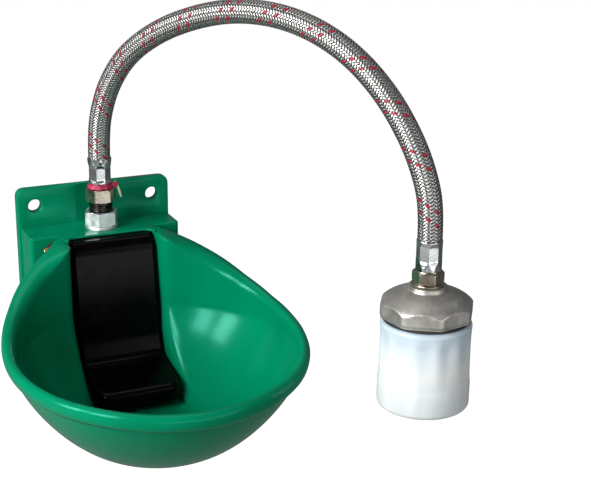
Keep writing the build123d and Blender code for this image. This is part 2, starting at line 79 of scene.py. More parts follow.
camera = placed("camera", bpy.data.cameras.new("camera"))
camera.data.lens, camera.data.sensor_width = LENS, SENSOR
turned_to_view = Matrix((right, up, -forward)).transposed().to_4x4()
camera.matrix_world = Matrix.Translation(eye) @ turned_to_view
bpy.context.scene.camera = camera
bpy.context.scene.view_settings.view_transform = "Standard"


def linear(code):
    """The linear colour, with alpha, of an sRGB hex code."""
    value = np.array([int(code[i:i + 2], 16) for i in (1, 3, 5)]) / 255
    value = np.where(value <= 0.04045, value / 12.92, ((value + 0.055) / 1.055) ** 2.4)
    return (*value, 1.0)


def put(tree, kind, values=None, links=None, **settings):
    """Add a node with its settings, the values on its sockets and the links into them."""
    made = tree.nodes.new(kind)
    for key, value in settings.items():
        setattr(made, key, value)
    for key, value in (values or {}).items():
        made.inputs[key].default_value = value
    for key, source in (links or {}).items():
        tree.links.new(source, made.inputs[key])
    return made


def material(name, **values):
    """A new material and its tree and shader, with constant values on the shader's sockets."""
    made = bpy.data.materials.new(name)
    made.use_nodes = True
    shader = made.node_tree.nodes["Principled BSDF"]
    for key, value in values.items():
        shader.inputs[key.replace("_", " ")].default_value = value
    return made, made.node_tree, shader


def ramped(tree, source, dark, bright, start=0.0, end=1.0):
    """A colour ramp from one tint to another over a source's value."""
    made = put(tree, "ShaderNodeValToRGB", links={0: source})
    for element, spot, tint in zip(made.color_ramp.elements, (start, end), (dark, bright)):
        element.position, element.color = spot, linear(tint)
    return made


def light(name, place, target, width, height, power):
    """A soft rectangular lamp at a place, turned to a target."""
    lamp = placed(name, bpy.data.lights.new(name, "AREA"))
    lamp.data.shape = "RECTANGLE"
    lamp.data.size, lamp.data.size_y, lamp.data.energy = width, height, power
    lamp.location = place
    lamp.rotation_euler = (Vector(target) - Vector(place)).to_track_quat("-Z", "Y").to_euler()


middle = (0.03, -0.15, 0.0)
light("window_left", (-1.52, -0.36, 0.64), middle, 0.4, 0.9, 26)
light("window_left_2", (-1.32, -0.92, 0.64), middle, 0.4, 0.9, 23)
light("overhead", (0.1, 0.25, 1.7), middle, 1.2, 0.8, 4.5)
light("front_fill", (1.0, -1.9, 0.7), middle, 0.8, 0.8, 4)
light("low_fill", (0.2, -1.9, -0.2), middle, 1.8, 0.7, 9)

# The surroundings are white to the camera.  The part sees a dim room above a grey table.
world = bpy.data.worlds.new("studio")
bpy.context.scene.world = world
world.use_nodes = True
tree = world.node_tree
background = tree.nodes["Background"]
split = put(tree, "ShaderNodeSeparateXYZ",
            links={0: put(tree, "ShaderNodeTexCoord").outputs["Generated"]})
room = put(tree, "ShaderNodeValToRGB", links={0: split.outputs["Z"]})
room.color_ramp.elements[0].color = (0.17, 0.20, 0.20, 1)
room.color_ramp.elements[1].position = 0.35
room.color_ramp.elements[1].color = (0.095, 0.10, 0.10, 1)
sight = put(tree, "ShaderNodeLightPath")
shown = put(tree, "ShaderNodeMix", {7: (1.0, 1.0, 1.0, 1.0)},
            {0: sight.outputs["Is Camera Ray"], 6: room.outputs[0]}, data_type="RGBA")
tree.links.new(shown.outputs[2], background.inputs["Color"])
background.inputs["Strength"].default_value = 1.0

# Matt paper, which the camera sees as plain white and the part as a soft grey.
floor_mesh = bpy.data.meshes.new("floor")
floor_corners = [(-1, -1), (1, -1), (1, 1), (-1, 1)]
floor_mesh.from_pydata(
    [(FLOOR_REACH * a, FLOOR_REACH * b, cad_low.z - FLOOR_DROP) for a, b in floor_corners],
    [], [(0, 1, 2, 3)])
floor = placed("floor", floor_mesh)
paper, tree, shader = material("pale_paper", Base_Color=linear("#858786"), Roughness=0.9,
                               Emission_Color=linear("#FFFFFF"))
sight = put(tree, "ShaderNodeLightPath")
glow = put(tree, "ShaderNodeMath", {1: 0.96}, {0: sight.outputs["Is Camera Ray"]},
           operation="MULTIPLY")
tree.links.new(glow.outputs[0], shader.inputs["Emission Strength"])
floor_mesh.materials.append(paper)

# ---------------------------------------------------------------- hose
# Stainless-braided rubber hose, 19 mm across.  It stands in a stiff arch in the upright
# plane from the inlet to the tank coupling; 32 flat bundles of fine wire are braided two
# over and two under, and two of them are red, as a tracer.
INLET = (0.0, -0.030)
TANK = (0.1764, -0.3065)
HOSE_RADIUS = 9.5 * MM
CORE_DEPTH = 0.75 * MM
span_x, span_y = TANK[0] - INLET[0], TANK[1] - INLET[1]
span = hypot(span_x, span_y)
route = [
    (0, 0.0445), (0, 0.063), (0.004, 0.087), (0.015, 0.114), (0.036, 0.141),
    (0.069, 0.163), (0.106, 0.178), (0.144, 0.187), (0.184, 0.188), (0.222, 0.180),
    (0.257, 0.163), (0.287, 0.137), (0.310, 0.105), (0.323, 0.076), (span, 0.053),
    (span, 0.031),
]
route_points = [(INLET[0] + s * span_x / span, INLET[1] + s * span_y / span, z)
                for s, z in route]

hose_curve = bpy.data.curves.new("hose_core", "CURVE")
hose_curve.dimensions = "3D"
spline = hose_curve.splines.new("NURBS")
spline.points.add(len(route_points) - 1)
for point, place in zip(spline.points, route_points):
    point.co = (*place, 1)
spline.order_u = 3
spline.use_endpoint_u = True
spline.resolution_u = 24
hose_core = placed("hose_core", hose_curve)
line_mesh = bpy.data.meshes.new_from_object(hose_core)
hose_line = np.zeros(3 * len(line_mesh.vertices))
line_mesh.vertices.foreach_get("co", hose_line)
hose_line = hose_line.reshape(-1, 3)
hose_curve.bevel_depth = HOSE_RADIUS - CORE_DEPTH
hose_curve.bevel_resolution = 8


def noise(tree, scale, detail=2.0, roughness=0.5, vector=None):
    """The value of a noise, on the piece's own coordinates unless a vector is given."""
    if vector is None:
        vector = put(tree, "ShaderNodeTexCoord").outputs["Object"]
    values = {"Scale": scale, "Detail": detail, "Roughness": roughness}
    return put(tree, "ShaderNodeTexNoise", values, {"Vector": vector}).outputs[0]


def bumped(tree, shader, source, strength, distance):
    """Raise a shader's surface by a source's value."""
    bump = put(tree, "ShaderNodeBump", {"Strength": strength, "Distance": distance},
               {"Height": source})
    tree.links.new(bump.outputs[0], shader.inputs["Normal"])


# The rubber tube under the braid: matt black and slightly gritty, seen only in the gaps.
liner_black, tree, shader = material("epdm_liner", Base_Color=linear("#1B1D1E"), Roughness=0.6)
bumped(tree, shader, noise(tree, 900.0), 0.2, 0.0002)
hose_curve.materials.append(liner_black)


def surface(points, wrap_rows=False, wrap_columns=False):
    """Vertices, quads and corner UVs over a grid of points; wrapping joins end to start."""
    rows, columns = points.shape[:2]
    i = np.arange(rows if wrap_rows else rows - 1)[:, None]
    j = np.arange(columns if wrap_columns else columns - 1)[None, :]
    i2, j2 = (i + 1) % rows, (j + 1) % columns
    faces = np.stack([i * columns + j, i * columns + j2, i2 * columns + j2, i2 * columns + j], -1)
    across, along = (j + 0.0 * i) / columns, (i + 0.0 * j) / rows
    wide, tall = 1 / columns, 1 / rows
    uv = np.stack([np.stack([across + a * wide, along + b * tall], -1)
                   for a, b in ((0, 0), (1, 0), (1, 1), (0, 1))], 2)
    return points.reshape(-1, 3), faces.reshape(-1, 4), uv.reshape(-1, 2)


def joined(*surfaces):
    """Several surfaces as one."""
    starts = np.cumsum([0] + [len(s[0]) for s in surfaces[:-1]])
    return (np.concatenate([s[0] for s in surfaces]),
            np.concatenate([s[1] + start for s, start in zip(surfaces, starts)]),
            np.concatenate([s[2] for s in surfaces]))


def finished(name, mesh, finish, sharp):
    """An object from a mesh: smooth shaded, with edges above an angle in degrees kept sharp."""
    mesh.polygons.foreach_set("use_smooth", np.ones(len(mesh.polygons), bool))
    if sharp:
        mesh.set_sharp_from_angle(angle=radians(sharp))
    mesh.materials.append(finish)
    return placed(name, mesh)


def solid(name, shape, finish, sharp=None):
    """A mesh object from a closed surface: merged at its poles and seams, faces outwards."""
    points, faces, uv = shape
    mesh = bpy.data.meshes.new(name)
    mesh.vertices.add(len(points))
    mesh.vertices.foreach_set("co", points.ravel())
    mesh.loops.add(faces.size)
    mesh.loops.foreach_set("vertex_index", faces.ravel())
    mesh.polygons.add(len(faces))
    mesh.polygons.foreach_set("loop_start", np.arange(0, faces.size, 4))
    mesh.update(calc_edges=True)
    mesh.uv_layers.new(name="UVMap").data.foreach_set("uv", uv.ravel())
    shell = bmesh.new()
    shell.from_mesh(mesh)
    bmesh.ops.remove_doubles(shell, verts=shell.verts, dist=1e-6)
    bmesh.ops.dissolve_degenerate(shell, edges=shell.edges, dist=1e-7)
    if shell.calc_volume(signed=True) < 0:
        bmesh.ops.reverse_faces(shell, faces=shell.faces)
    shell.to_mesh(mesh)
    shell.free()
    return finished(name, mesh, finish, sharp)


BUNDLES = 16
BRAID_PITCH = 41.5 * MM
BUNDLE_WIDTH = 1.8 * MM
BUNDLE_THICKNESS = 0.36 * MM
BRAID_DEPTH = 0.25 * MM
BRAID_LIFT = 0.34 * MM
SAMPLES_PER_CROSSING = 3
TRACERS = (4, 8)
steps = np.linalg.norm(np.diff(hose_line, axis=0), axis=1)
measure = np.concatenate([[0], np.cumsum(steps)])
hose_side = Vector((span_y, -span_x, 0)).normalized()


def on_hose(along, angle, radius):
    """Points at a distance along the hose, an angle round it and a radius from its middle."""
    inside = np.clip(along, 0, measure[-1])
    middle_line, ahead, behind = (
        np.stack([np.interp(spot, measure, hose_line[:, k]) for k in range(3)], -1)
        for spot in (inside, inside + MM, inside - MM))
    tangent = ahead - behind
    tangent /= np.linalg.norm(tangent, axis=-1, keepdims=True)
    side = np.broadcast_to(np.array(hose_side), tangent.shape)
    other = np.cross(tangent, side)
    return (middle_line + (radius * np.cos(angle))[..., None] * side
            + (radius * np.sin(angle))[..., None] * other)


def bundles(numbers, turning):
    """Flat braid bundles: each is a helix whose radius rises and falls by a clipped cosine of
    (2 x its number + crossings passed), a full wave in four crossings, so it goes over two
    and under two of the bundles that turn the other way."""
    samples = int(measure[-1] / BRAID_PITCH * 2 * BUNDLES * SAMPLES_PER_CROSSING)
    along = np.linspace(0, measure[-1], samples)[None, :, None]
    number = np.array(numbers, float)[:, None, None]
    crossings = turning * 2 * BUNDLES * along / BRAID_PITCH
    wave = turning * np.clip(1.5 * np.cos(pi / 2 * (2 * number + crossings - 0.5)), -1, 1)
    slant = atan(2 * pi * HOSE_RADIUS / BRAID_PITCH)
    section = np.array([(-1, -0.3), (-0.6, 0.8), (0.6, 0.8), (1, -0.3), (0, -0.8)])
    offset = section[:, 0] * BUNDLE_WIDTH / 2
    rise = section[:, 1] * BUNDLE_THICKNESS / 2
    angle = 2 * pi * (number / BUNDLES + turning * along / BRAID_PITCH)
    angle = angle + cos(slant) * offset / HOSE_RADIUS
    place = along - turning * sin(slant) * offset + 0 * number
    points = on_hose(place, angle, HOSE_RADIUS - BRAID_DEPTH + BRAID_LIFT * wave + rise)
    return joined(*[surface(strand, wrap_columns=True) for strand in points])


def stranded(tree, shader, scale, distortion, dark, bright):
    """Bands that run along a strand, from its UVs, as its colour: a painted highlight along each
    fine strand and painted shade between the strands; gives back their value.
    """
    bands = put(tree, "ShaderNodeTexWave", {"Scale": scale, "Distortion": distortion},
                {"Vector": put(tree, "ShaderNodeTexCoord").outputs["UV"]},
                wave_type="BANDS", bands_direction="X").outputs["Fac"]
    tint = ramped(tree, bands, dark, bright)
    tree.links.new(tint.outputs[0], shader.inputs["Base Color"])
    return bands


# Drawn stainless wire: a painted highlight along each wire and painted shade between the wires of a
# bundle.
wire_steel, tree, shader = material("stainless_wire", Metallic=1.0, Roughness=0.38)
bumped(tree, shader, stranded(tree, shader, 1.5, 0.0, "#8B8A88", "#CFCECC"), 0.25, 0.0001)
# Polyester yarn: dull crimson, with its threads just visible through painted shade between them and
# a painted highlight along each.
tracer_red, tree, shader = material("red_polyester_yarn", Roughness=0.5)
stranded(tree, shader, 2.0, 1.0, "#8A0A22", "#B30E30")
plain_bundles = [number for number in range(BUNDLES) if number not in TRACERS]
braid_out = solid("braid_left", bundles(plain_bundles, -1), wire_steel)
braid_back = solid("braid_right", bundles(range(BUNDLES), 1), wire_steel)
tracers = solid("braid_tracer", bundles(TRACERS, -1), tracer_red)
for strand_piece in (braid_out, braid_back, tracers):
    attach(strand_piece, "trough")
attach(hose_core, "trough")
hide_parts("hose_braid", "hose_liner")


# ---------------------------------------------------------------- green moulding
# One injection moulding in glossy green plastic: the bowl, its rolled rim, the slot and
# neck that the tongue hangs in, and behind them the valve box, the wall plate with its
# two flared bolt holes, and the small stop on the bowl's floor.
BOWL_Y = -185.0
SLOT_HALF, NECK_HALF, CORE_HALF = 39.5, 50.0, 42.0
BOX_FRONT, BOX_HALF, SHELF, BOX_FLOOR = -44.0, 68.5, -19.0, -95.0
BEAD = 5.0
BLEND = 30.0


def sharper(a, b, reach):
    """The larger of two values, with a cubic rounding where they differ by less than the reach."""
    near = np.clip(1 - np.abs(a - b) / reach, 0, 1)
    return np.maximum(a, b) + near ** 3 * reach / 6


def bezier(ends, t):
    """Points on a cubic Bezier curve."""
    a, b, c, d = (np.array(p, float) for p in ends)
    t = np.asarray(t)[:, None]
    return a * (1 - t) ** 3 + 3 * b * t * (1 - t) ** 2 + 3 * c * t ** 2 * (1 - t) + d * t ** 3


# The rolled rim's middle line, by angle from the wall side: distance from the bowl's axis
# and height.
rim_angle = [0, 17.3, 22.1, 31.2, 43.4, 56.3, 71.1, 86.6, 103.3, 121.4, 140.5, 160, 180]
rim_radius = [147, 147, 132.8, 127.5, 126.0, 122.6, 120.5, 119.2, 117.6, 117.4, 117.9, 119.6, 120]
rim_height = [-24, -24, -24.5, -31, -43, -56, -67, -74, -78.5, -81, -82.5, -84, -85]
fine = np.linspace(0, 180, 721)
SOFT_STEPS = 24
soft = np.exp(-0.5 * (np.arange(-SOFT_STEPS, SOFT_STEPS + 1) / 8.0) ** 2)
soft /= soft.sum()


def eased(values):
    """A function of the angle, averaged over a few degrees and mirrored at its ends."""
    plain = np.interp(fine, rim_angle, values)
    return np.convolve(np.pad(plain, SOFT_STEPS, mode="reflect"), soft, mode="valid")


half_turn = np.concatenate([
    np.linspace(0, 11, 10, endpoint=False), np.linspace(11, 32, 84, endpoint=False),
    np.linspace(32, 60, 28, endpoint=False), np.linspace(60, 180, 61)])
turn = np.concatenate([half_turn, -half_turn[-2:0:-1]])
phi = np.radians(turn)[:, None]
size = np.abs(turn)
sine, cosine = np.maximum(np.abs(np.sin(phi)), 1e-3), np.cos(phi)
bead_height = np.interp(size, fine, eased(rim_height))[:, None]
bead_radius = np.interp(size, fine, eased(rim_radius))[:, None]
neck_line = np.minimum(44.5 / sine, 178)
bead_radius = np.where((cosine > 0) & (size[:, None] < 22),
                       np.maximum(bead_radius, neck_line), bead_radius)


def passage(half, back):
    """Distance from the bowl's axis to the walls of a straight passage towards the wall plate."""
    far = (back - BOWL_Y) / np.maximum(cosine, 1e-3)
    return np.where(cosine > 0, np.minimum(half / sine, far), 0.0)


floor_line = ([-158.0, -156.5, -151, -126, -88, -87], [-152.0, -105, -80, -45, -9, -9])
under_line = ([-162.0, -161, -155.5, -130.5, -95, -94], [-148.0, -105, -80, -45, -1, -1])
curve_in = bezier([(34, -158), (71, -153), (108, -108), (114, -84)], np.linspace(0, 1, 60))
curve_out = bezier([(38, -162), (75, -157), (112, -108), (118, -84)], np.linspace(0, 1, 50))
rise = np.linspace(0, 1, 26)[None, 1:]


def wall(curve, line, half, top, boxed):
    """A wall from the bowl's middle up to its rim, as radius and height by angle and step: the
    bowl's own profile, with the passage towards the wall blended into it."""
    radii = np.concatenate([np.linspace(0, curve[0, 0], 8)[:-1], curve[:, 0]])
    heights = np.concatenate([np.full(7, curve[0, 1]), curve[:, 1]])
    radius = np.concatenate([radii + 0 * phi, curve[-1, 0] + 0 * (phi + rise)], 1)
    height = np.concatenate([heights + 0 * phi, curve[-1, 1] + (top - curve[-1, 1]) * rise], 1)
    way = passage(half, np.interp(height, *line))
    if boxed:
        neck = passage(NECK_HALF, BOX_FRONT + 1 + 0 * height)
        way = np.where(height > BOX_FLOOR, np.maximum(way, neck), way)
    blended = sharper(radius, way, BLEND)
    blended[:, :7] = np.maximum(radius, 0)[:, :7]
    return blended, height


edge = np.interp(size, [20, 26, 34, 50, 72], [2.2, 5, 11, 11, 6.5])[:, None]
inner_radius, inner_height = wall(
    curve_in, floor_line, SLOT_HALF, bead_height + BEAD - edge, False)
drop = np.interp(size, [20, 45, 100], [5, 6.5, 8.5])[:, None]
outer_radius, outer_height = wall(
    curve_out, under_line, CORE_HALF, bead_height - drop - 1.2, True)
top_in = inner_radius[:, -1:]
lean = np.maximum(bead_radius - top_in, 2.0)
bead_radius = top_in + lean
quarter = np.radians(np.linspace(0, 90, 12))[None, 1:]
around = np.radians(np.linspace(0, 165, 22))[None, 1:]
radius = np.concatenate([
    inner_radius, top_in + lean * (1 - np.cos(quarter)),
    bead_radius + BEAD * np.sin(around) ** 0.8, outer_radius[:, ::-1]], 1)
height = np.concatenate([
    inner_height, bead_height + BEAD - edge * (1 - np.sin(quarter)),
    bead_height + np.where(np.cos(around) > 0, BEAD, drop) * np.cos(around),
    outer_height[:, ::-1]], 1)
TUCK = 1.5
hidden = (BOWL_Y + radius * cosine > BOX_FRONT) & (height > SHELF - TUCK)
height = np.where(hidden, SHELF - TUCK, height)
skin = MM * np.stack([radius * np.sin(phi), BOWL_Y + radius * cosine, height], -1)

# Glossy dyed plastic: a faintly mottled green with a slightly uneven skin; the eye sees
# broad soft reflections with a cyan cast.
green, tree, shader = material(
    "green_moulding", Roughness=0.19, IOR=1.5, Specular_IOR_Level=0.3,
    Specular_Tint=linear("#6FDCCB"))
tint = ramped(tree, noise(tree, 14.0, 3.0), "#00734F", "#007D58", 0.35, 0.65)
tree.links.new(tint.outputs[0], shader.inputs["Base Color"])
bumped(tree, shader, noise(tree, 35.0), 0.25, 0.0006)
bowl_skin = solid("bowl_skin", surface(skin, wrap_rows=True), green)
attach(bowl_skin, "trough")


def prism(name, outlines, finish, depth, axis="Z", bevel=1.0, holes=()):
    """Flat plates with rounded edges.  Each outline is drawn as a filled 2-D curve with its
    holes, extruded by half its depth both ways, bevelled, and set at a level along the axis."""
    parts = []
    for outline, level in outlines:
        curve = bpy.data.curves.new(name, "CURVE")
        curve.dimensions = "2D"
        curve.fill_mode = "BOTH"
        for loop in (outline, *holes):
            drawn = curve.splines.new("POLY")
            drawn.points.add(len(loop) - 1)
            for point, (a, b) in zip(drawn.points, loop):
                point.co = (a * MM, b * MM, 0, 1)
            drawn.use_cyclic_u = True
        curve.extrude = (depth / 2 - bevel) * MM
        curve.bevel_depth = bevel * MM
        curve.offset = -bevel * MM
        curve.bevel_resolution = 3
        drawn_object = placed(name, curve)
        mesh = bpy.data.meshes.new_from_object(drawn_object)
        bpy.data.objects.remove(drawn_object)
        if axis == "Y":
            upright = Matrix.Rotation(pi / 2, 4, "X")
            mesh.transform(Matrix.Translation((0, level * MM, 0)) @ upright)
        else:
            mesh.transform(Matrix.Translation((0, 0, level * MM)))
        parts.append(mesh)
    shell = bmesh.new()
    for mesh in parts:
        shell.from_mesh(mesh)
    bmesh.ops.remove_doubles(shell, verts=shell.verts, dist=1e-6)
    bmesh.ops.recalc_face_normals(shell, faces=shell.faces)
    made_mesh = bpy.data.meshes.new(name)
    shell.to_mesh(made_mesh)
    shell.free()
    return finished(name, made_mesh, finish, 30)


def circle(a, b, r, count=40):
    """Points round a circle."""
    turns = [2 * pi * k / count for k in range(count)]
    return [(a + r * cos(turn), b + r * sin(turn)) for turn in turns]


def rounded(corners, radii, steps=6):
    """A polygon whose corners are cut by quadratic curves that start a radius away."""
    points = []
    for k, ((a, b), r) in enumerate(zip(corners, radii)):
        before, here, after = (Vector(corners[(k + s) % len(corners)]) for s in (-1, 0, 1))
        if r == 0:
            points.append((a, b))
            continue
        start = here + (before - here).normalized() * r
        end = here + (after - here).normalized() * r
        for t in np.linspace(0, 1, steps):
            spot = start * (1 - t) ** 2 + 2 * here * t * (1 - t) + end * t ** 2
            points.append((spot.x, spot.y))
    return points


def mirrored(outline):
    """An outline reflected from side to side, drawn the other way round."""
    return [(-a, b) for a, b in outline][::-1]


inlet = (1000 * INLET[0], 1000 * INLET[1])
TUBE_HOLE = 10.98
shelf_plan = rounded(
    [(-BOX_HALF, -1), (BOX_HALF, -1), (BOX_HALF, BOX_FRONT), (-BOX_HALF, BOX_FRONT)],
    [0, 0, 4, 4])
shelf = prism("bowl_shelf", [(shelf_plan, SHELF - 2.5)], green, 5, bevel=1.2,
              holes=[circle(*inlet, TUBE_HOLE)])

# The hood roofs the slot's back; its front corners are 10 mm arcs.
HOOD_CORNER = 10
corner = [(29.5 + HOOD_CORNER * sin(a), -62 + HOOD_CORNER * cos(a))
          for a in np.linspace(0, pi / 2, 10)]
hood_plan = [(-44, -43), (44, -43), (43.4, -54), (40.2, -61.5)] + corner[::-1]
hood_plan += [(-a, b) for a, b in corner] + [(-40.2, -61.5), (-43.4, -54)]
hood = prism("bowl_hood", [(hood_plan[::-1], SHELF - 1.03)], green, 2, bevel=0.6)

# The valve box's two cheeks, each an L in plan, and their floors.
side_plan = rounded(
    [(40, -43.98), (68.48, -43.98), (68.48, -2), (63.5, -2), (63.5, -39), (40, -39)],
    [0, 4, 0, 0, 2, 0])
sides = prism("bowl_box_sides", [(side_plan, -57.75), (mirrored(side_plan), -57.75)],
              green, 74.5, bevel=1.2)
floor_plan = rounded([(40, -43.9), (68.4, -43.9), (68.4, -2), (40, -2)], [0, 4, 0, 0])
box_floor = prism("bowl_box_floor", [(floor_plan, -92.4), (mirrored(floor_plan), -92.4)],
                  green, 5, bevel=0.9)

# The wall plate, with the bolt holes, the box's two open pockets, and behind the nuts an
# upright hollow 3 mm deep, which a cylinder cuts.
PLATE_HALF, PLATE_TOP, PLATE_DEPTH = 70.5, 16, 10
BOLT_X, BOLT_HOLE = 54.5, 6
GROOVE_RADIUS, GROOVE_BACK = 52.5, -7
pocket = rounded([(42.5, -90), (63.5, -90), (63.5, -24), (42.5, -24)], [2] * 4)
pocket_left = rounded([(-63.5, -90), (-42.5, -90), (-42.5, -24), (-63.5, -24)], [2] * 4)
plate_front = rounded(
    [(-PLATE_HALF, BOX_FLOOR), (PLATE_HALF, BOX_FLOOR), (PLATE_HALF, PLATE_TOP),
     (-PLATE_HALF, PLATE_TOP)], [3, 3, 8, 8])
plate = prism("bowl_plate", [(plate_front, -PLATE_DEPTH / 2)], green, PLATE_DEPTH, axis="Y",
              bevel=1.3, holes=[circle(BOLT_X, 0, BOLT_HOLE), circle(-BOLT_X, 0, BOLT_HOLE),
                                pocket, pocket_left])
cutter = placed("groove", bpy.data.meshes.new("groove"))
shell = bmesh.new()
bmesh.ops.create_cone(shell, cap_ends=True, segments=192, radius1=GROOVE_RADIUS * MM,
                      radius2=GROOVE_RADIUS * MM, depth=60 * MM,
                      matrix=Matrix.Translation((0, (GROOVE_BACK - GROOVE_RADIUS) * MM, 8 * MM)))
shell.to_mesh(cutter.data)
shell.free()
cut = plate.modifiers.new("groove", "BOOLEAN")
cut.operation, cut.object, cut.solver = "DIFFERENCE", cutter, "EXACT"
cut_plate = plate.evaluated_get(bpy.context.evaluated_depsgraph_get())
grooved = bpy.data.meshes.new_from_object(cut_plate)
plate.modifiers.clear()
plate.data = grooved
bpy.data.objects.remove(cutter)

# The tongue meets this small pad on the bowl's floor at the end of its travel.
stop_plan = rounded([(-4.5, -142), (4.5, -142), (4.5, -127), (-4.5, -127)], [1.5] * 4)
floor_stop = prism("bowl_stop", [(stop_plan, -157.3)], green, 1.8, bevel=0.5)
for moulded in (shelf, hood, sides, box_floor, plate, floor_stop):
    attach(moulded, "trough")
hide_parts("bowl_body")

# ---------------------------------------------------------------- press tongue
# Thick black plastic moulding that the animal pushes with its nose.  Its rolled top edge
# turns on the pin, a step stiffens its middle, and its paddle ends in a turned-down lip.
PIN_Y, PIN_Z, PIN_R, BOSS = -52.5, -28.5, 3.1, 7.0
TONGUE_HALF, ROLL_HALF, ARM_HALF = 36.0, 38.8, 8.0


def even(points, count):
    """A line through points, sampled at even distances."""
    points = np.array(points, float)
    travel = np.concatenate([[0], np.cumsum(np.linalg.norm(np.diff(points, axis=0), axis=1))])
    spots = np.linspace(0, travel[-1], count)
    return np.stack([np.interp(spots, travel, points[:, k]) for k in range(points.shape[1])], -1)


def eased_line(points, radii, count):
    """A line with its corners rounded, sampled evenly; the ends stay where they are."""
    return even(rounded([tuple(p) for p in points], radii, 12), count)


def smoothed(points, times):
    """A closed loop of points averaged with their neighbours a number of times."""
    for _ in range(times):
        points = points / 2 + (np.roll(points, 1, 0) + np.roll(points, -1, 0)) / 4
    return points


roll = [(PIN_Y + BOSS * cos(a), PIN_Z + BOSS * sin(a))
        for a in np.radians(np.linspace(-30, 95, 26))]
front = eased_line(
    [roll[-1], (-61.5, -22), (-67, -29), (-69.5, -45), (-79, -110), (-86, -126),
     (-134, -135.5), (-137.2, -139), (-137.2, -150)], [0, 3, 5, 6, 4, 5, 2.5, 3, 0], 240)
rear = eased_line(
    [(-132, -150), (-132, -144), (-95, -143), (-75, -131), (-66, -112), (-56, -75),
     (-47.5, -32.5)], [0, 2, 12, 10, 12, 10, 0], 150)
loop = smoothed(even(np.concatenate([roll, front[1:], rear, [roll[0]]]), 620)[:-1], 5)


def tongue_skin(outline, half, edge, corner):
    """A closed outline carried along X: it shrinks inwards over the last of each side to round
    its edges, and the lip's front draws back there to round its corners in plan."""
    ahead, behind = np.roll(outline, -1, 0), np.roll(outline, 1, 0)
    slope = ahead - behind
    slope /= np.linalg.norm(slope, axis=1, keepdims=True)
    normal = np.stack([slope[:, 1], -slope[:, 0]], -1)
    angle = np.radians(np.linspace(0, 90, 7))
    stations = np.concatenate([np.linspace(0, half - corner, 8)[:-1],
                               np.linspace(half - corner, half - edge, 16)[:-1],
                               half - edge + edge * np.sin(angle)])
    inset = np.concatenate([np.zeros(22), edge * (1 - np.cos(angle))])
    past = np.maximum(stations - (half - corner), 0)
    draw = corner - np.sqrt(np.maximum(corner ** 2 - past ** 2, 0))
    stations = np.concatenate([-stations[:0:-1], stations])
    inset = np.concatenate([inset[:0:-1], inset])
    draw = np.concatenate([draw[:0:-1], draw])
    share = np.clip((-118 - outline[:, 0]) / 14, 0, 1) ** 2
    rows = outline[None] - inset[:, None, None] * normal[None]
    y = rows[..., 0] + draw[:, None] * share[None]
    x = stations[:, None] + 0 * y
    return MM * np.stack([x, y, rows[..., 1]], -1)


def capped(points):
    """A grid with closed columns, and each end row filled by quads between its two halves."""
    shape = surface(points, wrap_columns=True)
    half = points.shape[1] // 2
    ends = [surface(np.stack([row[:half], row[::-1][:half]], 0)) for row in (points[0], points[-1])]
    return joined(shape, *ends)


# Black polypropylene, near-black with a faint brown cast: the eye sees only thin glints on
# its edges, dulled in patches by fine scratches and dust.
tongue_black, tree, shader = material("black_moulding", Specular_IOR_Level=0.08)
grime = noise(tree, 60.0, 6.0, 0.6)
tint = ramped(tree, grime, "#030202", "#070404", 0.4, 0.75)
tree.links.new(tint.outputs[0], shader.inputs["Base Color"])
dull = put(tree, "ShaderNodeMapRange", {1: 0.3, 2: 0.7, 3: 0.16, 4: 0.26}, {0: grime})
tree.links.new(dull.outputs[0], shader.inputs["Roughness"])
tongue = solid("tongue", capped(tongue_skin(loop, TONGUE_HALF, 1.4, 9.0)), tongue_black, 50)

# The roll is a tube on the pin, a little wider than the tongue, with rounded ends.
ROLL_EDGE = 1.2
quarter = np.radians(np.linspace(0, 90, 7))
end_radius = BOSS - 1.0 + ROLL_EDGE * np.sin(quarter)
end_x = ROLL_HALF - ROLL_EDGE * (1 - np.cos(quarter[::-1]))
bar_radius = np.concatenate([[PIN_R], end_radius, end_radius[::-1], [PIN_R]])
bar_x = np.concatenate([[-ROLL_HALF], -end_x[::-1], end_x, [ROLL_HALF]])
bar_turn = np.linspace(0, 2 * pi, 72, endpoint=False)[:, None]
bar_points = np.stack([bar_x + 0 * bar_turn, PIN_Y + bar_radius * np.cos(bar_turn),
                       PIN_Z + bar_radius * np.sin(bar_turn)], -1)
tongue_roll = solid("tongue_roll", surface(MM * bar_points, wrap_rows=True, wrap_columns=True),
                    tongue_black, 50)

# The arm reaches back under the plunger's stem.
arm_corners = [(-60, -54), (-23, -56), (-22.5, -58), (-24, -60), (-62, -66), (-60, -54)]
arm_outline = smoothed(even(arm_corners, 120)[:-1], 4)
tongue_arm = solid("tongue_arm", capped(tongue_skin(arm_outline, ARM_HALF, 1.0, 1.5)),
                   tongue_black, 50)
for moulded in (tongue, tongue_roll, tongue_arm):
    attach(moulded, "tongue")
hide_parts("press_tongue")

# ---------------------------------------------------------------- inlet fittings
# From the shelf up: a domed zinc washer, a zinc lock nut, the dark threaded tube, the
# nickelled union nut of the hose, a red band tied round its neck with a cream tail, and the
# crimped ferrule.  All turned, rolled or pressed metal but the band, which is soft vinyl.


def turned(centre, profile, count=96, across=None):
    """A ring or a round bar from a closed profile of radius and height turned about an
    upright axis.  Across gives the radius allowed at each angle and height, for flats."""
    angle = np.linspace(0, 2 * pi, count, endpoint=False)[:, None]
    radius = np.array([p[0] for p in profile], float)[None, :] + 0 * angle
    height = np.array([p[1] for p in profile], float)[None, :] + 0 * angle
    if across is not None:
        radius = np.where(radius > 0, across(angle, radius, height), radius)
    points = np.stack([centre[0] + radius * np.cos(angle),
                       centre[1] + radius * np.sin(angle), height], -1)
    return surface(MM * points, wrap_rows=True, wrap_columns=True)


def arc(a, b, r, start, stop, count=8):
    """Profile points on an arc about a centre, from one angle to another in degrees."""
    return [(a + r * cos(t), b + r * sin(t)) for t in np.radians(np.linspace(start, stop, count))]


